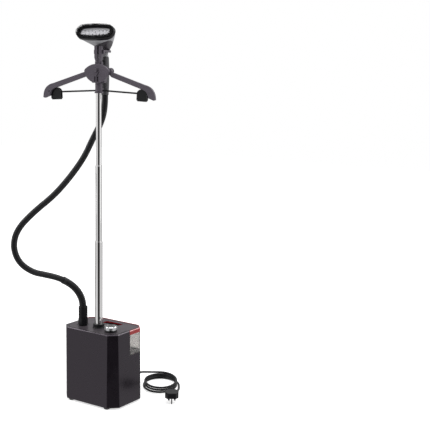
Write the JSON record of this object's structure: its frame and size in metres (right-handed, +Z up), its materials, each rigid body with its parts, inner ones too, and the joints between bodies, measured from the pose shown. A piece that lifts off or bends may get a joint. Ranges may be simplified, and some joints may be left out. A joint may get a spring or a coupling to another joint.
{
  "type": "upright garment steamer",
  "caption": "Upright garment steamer: octagonal base with lift-out water tank, telescopic pole, folding clothes hanger with trouser clips, and a steam head on a flexible hose.",
  "frame": {"origin": "centre of the base's footprint, on the floor the feet stand on", "axes": "+Z up along the pole, -Y towards the front of the base, +X to the right seen from the front"},
  "size_m": [0.4673, 0.5869, 1.3732],
  "materials": {
    "charcoal": "satin",
    "black": "satin",
    "hanger_grey": "satin",
    "red": "gloss",
    "smoke_clear": "gloss",
    "light_grey": "satin",
    "handle_grey": "satin",
    "chrome": "polished",
    "brass": "machined",
    "steel": "polished",
    "alloy": "cast",
    "foot_rubber": "matt",
    "hose_cover": "satin",
    "cord_rubber": "satin",
    "bristle": "matt",
    "pump_body": "satin",
    "circuit": "gloss"
  },
  "bodies": {
    "base": {"housing": "charcoal", "base_plate": "charcoal", "feet": "foot_rubber", "base_screws": "steel", "top_cover": "charcoal", "port_collar": "black", "steam_outlet": "brass", "pole_socket": "black", "tank_shelf": "charcoal", "boiler": "alloy", "water_pump": "pump_body", "water_pipes": "foot_rubber", "steam_pipe": "steel", "selector_switch": "black", "control_board": "circuit", "cord_gland": "black", "power_cord": "cord_rubber", "cord_coil": "cord_rubber", "plug_body": "cord_rubber", "plug_pins": "steel", "pole_lower": "steel", "lower_bush": "black", "hose_connector": "black", "hose_sleeve": "hose_cover", "hose": "hose_cover"},
    "control_knob": {"knob": "chrome", "knob_dial": "black"},
    "water_tank": {"tank_shell": "smoke_clear", "tank_band": "red", "tank_lid": "charcoal", "slot_liner": "charcoal", "valve_spring": "steel"},
    "valve_plunger": {"tank_valve": "black"},
    "middle_stage": {"pole_middle": "steel", "middle_bush": "black"},
    "hanger": {"pole_upper": "steel", "hanger_neck": "hanger_grey", "hub_front": "hanger_grey", "hub_back": "hanger_grey", "arm_pivots": "steel", "garment_peg": "hanger_grey", "clip_bar": "steel", "head_cradle": "hanger_grey"},
    "hanger_arm_left": {"left_arm": "hanger_grey"},
    "hanger_arm_right": {"right_arm": "hanger_grey"},
    "clip_left": {"left_clip_front": "black", "left_clip_spring": "steel"},
    "jaw_left": {"left_clip_jaw": "black"},
    "clip_right": {"right_clip_front": "black", "right_clip_spring": "steel"},
    "jaw_right": {"right_clip_jaw": "black"},
    "steam_head": {"head_shell": "light_grey", "brush_ring": "black", "bristles": "bristle", "steam_plate": "alloy", "head_cup": "light_grey", "grip_front": "handle_grey", "grip_back": "handle_grey", "hose_top": "hose_cover"},
    "trigger": {"steam_trigger": "black"}
  },
  "joints": [
    {"name": "knob_turn", "type": "hinge", "parent": "base", "child": "control_knob", "pos_m": [0.074, -0.044, 0.286], "axis": [0, 0, 1], "range_deg": [0, 90]},
    {"name": "tank_lift", "type": "slide", "parent": "base", "child": "water_tank", "axis": [0, 0, 1], "range_m": [0, 0.11]},
    {"name": "valve_lift", "type": "slide", "parent": "water_tank", "child": "valve_plunger", "axis": [0, 0, 1], "range_m": [0, 0.003], "stiffness_N_per_m": 60, "springref_m": -0.01, "deforming": ["valve_spring"]},
    {"name": "pole_slide", "type": "slide", "parent": "base", "child": "middle_stage", "axis": [0, 0, 1], "range_m": [-0.19, 0], "deforming": ["hose", "hose_sleeve"]},
    {"name": "hanger_slide", "type": "slide", "parent": "middle_stage", "child": "hanger", "axis": [0, 0, 1], "range_m": [-0.19, 0]},
    {"name": "left_arm_fold", "type": "hinge", "parent": "hanger", "child": "hanger_arm_left", "pos_m": [-0.03727, -0.03893, 1.21], "axis": [0.284, -0.9588, 0], "range_deg": [0, 50]},
    {"name": "right_arm_fold", "type": "hinge", "parent": "hanger", "child": "hanger_arm_right", "pos_m": [0.04327, -0.01507, 1.21], "axis": [-0.284, 0.9588, 0], "range_deg": [0, 50]},
    {"name": "left_clip_slide", "type": "slide", "parent": "hanger", "child": "clip_left", "axis": [0.9575, 0.2836, 0.0523], "range_m": [0, 0.11]},
    {"name": "right_clip_slide", "type": "slide", "parent": "hanger", "child": "clip_right", "axis": [-0.9575, -0.2836, 0.0523], "range_m": [-0.01, 0.11]},
    {"name": "left_jaw_open", "type": "hinge", "parent": "clip_left", "child": "jaw_left", "pos_m": [-0.1655, -0.06023, 1.13264], "axis": [0.9575, 0.2836, 0.0523], "range_deg": [0, 20], "stiffness_Nm_per_rad": 0.04, "springref_deg": -20.05},
    {"name": "right_jaw_open", "type": "hinge", "parent": "clip_right", "child": "jaw_right", "pos_m": [0.15187, 0.03378, 1.13322], "axis": [0.9575, 0.2836, -0.0523], "range_deg": [0, 20], "stiffness_Nm_per_rad": 0.04, "springref_deg": -20.05},
    {"name": "head_lift", "type": "slide", "parent": "hanger", "child": "steam_head", "axis": [-0.2669, 0.901, 0.342], "range_m": [0, 0.075], "deforming": ["hose_top"]},
    {"name": "trigger_press", "type": "hinge", "parent": "steam_head", "child": "trigger", "pos_m": [-0.01137, 0.0138, 1.239], "axis": [0.9945, 0.1045, 0], "range_deg": [0, 6], "stiffness_Nm_per_rad": 0.12, "springref_deg": -11.46}
  ],
  "couplings": [
    {"joint": "hanger_slide", "follows": "pole_slide", "ratio": 1}
  ]
}
